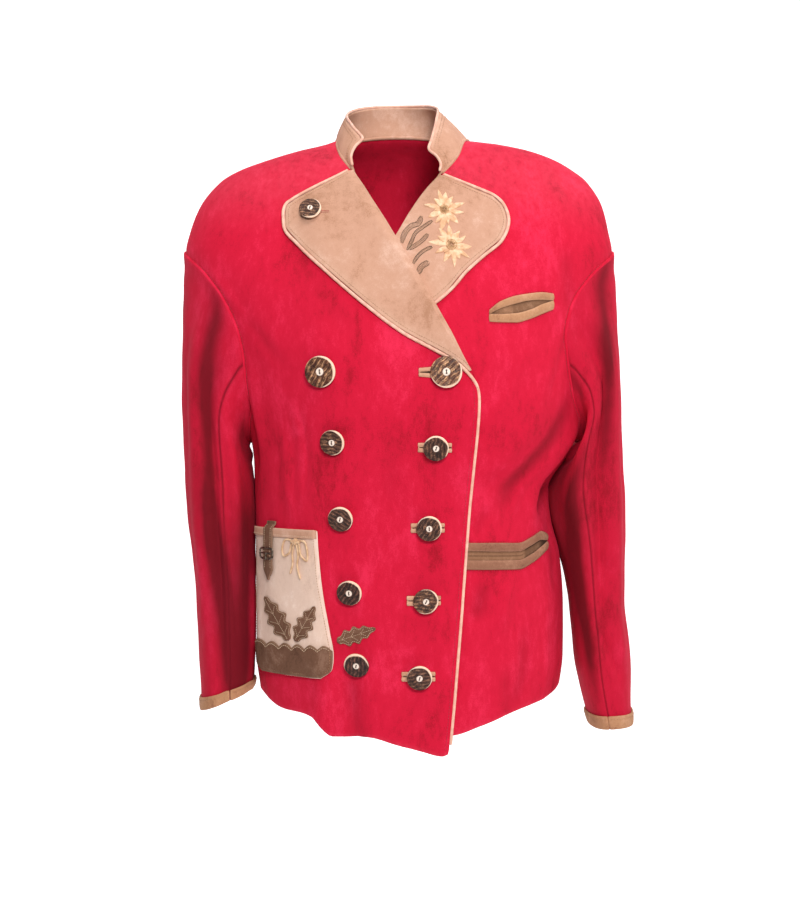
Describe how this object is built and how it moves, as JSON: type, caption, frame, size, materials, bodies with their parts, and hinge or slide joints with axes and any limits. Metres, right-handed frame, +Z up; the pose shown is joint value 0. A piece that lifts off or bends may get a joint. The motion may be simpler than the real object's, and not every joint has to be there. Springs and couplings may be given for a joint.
{
  "type": "double-breasted suede folk blazer",
  "caption": "Hollow suede folk blazer in its worn form: wide tan lapels, piped edges, horn buttons, bound pockets and cuffs, and a patch pocket with strap, lace bow and leaves.",
  "frame": {"origin": "middle of the neck opening at the height of the neck points, mount wearer_neck; the row is held there, as on a wearer", "axes": "+Z up, +X towards the wearer's left, the fronts face -Y"},
  "size_m": [0.5296, 0.2917, 0.7469],
  "materials": {
    "suede_red": "matte napped suede with soft vertical streaks",
    "suede_tan": "matte napped suede",
    "piping_leather": "smooth edge-dyed leather piping",
    "leather_brown": "matte brown suede",
    "suede_pale": "matte pale suede",
    "horn": "satin stag horn, cream on the cut rim and boss",
    "buckle_metal": "dull aged metal"
  },
  "bodies": {
    "root": {"front_right": "suede_red", "front_left": "suede_red", "back": "suede_red", "sleeve_upper_right": "suede_red", "sleeve_under_right": "suede_red", "sleeve_upper_left": "suede_red", "sleeve_under_left": "suede_red", "cuff_band_right": "suede_tan", "cuff_band_left": "suede_tan", "collar": "suede_tan", "lapel_right": "suede_tan", "lapel_left": "suede_tan", "breast_pocket_upper_welt": "suede_tan", "breast_pocket_lower_welt": "suede_tan", "hip_pocket_upper_welt": "suede_tan", "hip_pocket_lower_welt": "suede_tan", "patch_rim": "suede_tan", "lace_knot": "suede_tan", "lace_loop_left": "suede_tan", "lace_loop_right": "suede_tan", "lace_end_left": "suede_tan", "lace_end_right": "suede_tan", "buttonhole_1": "suede_tan", "buttonhole_2": "suede_tan", "buttonhole_3": "suede_tan", "buttonhole_4": "suede_tan", "buttonhole_5": "suede_tan", "piping_lapel_left": "piping_leather", "piping_lapel_right": "piping_leather", "piping_front": "piping_leather", "piping_collar": "piping_leather", "breast_pocket_inside": "leather_brown", "hip_pocket_inside": "leather_brown", "patch_band": "leather_brown", "patch_strap": "leather_brown", "leaf_1": "leather_brown", "leaf_2": "leather_brown", "leaf_3": "leather_brown", "patch_pocket": "suede_pale", "button_left_1": "horn", "button_right_1": "horn", "button_left_2": "horn", "button_right_2": "horn", "button_left_3": "horn", "button_right_3": "horn", "button_left_4": "horn", "button_right_4": "horn", "button_left_5": "horn", "button_right_5": "horn", "button_lapel": "horn", "patch_buckle": "buckle_metal"}
  },
  "joints": []
}
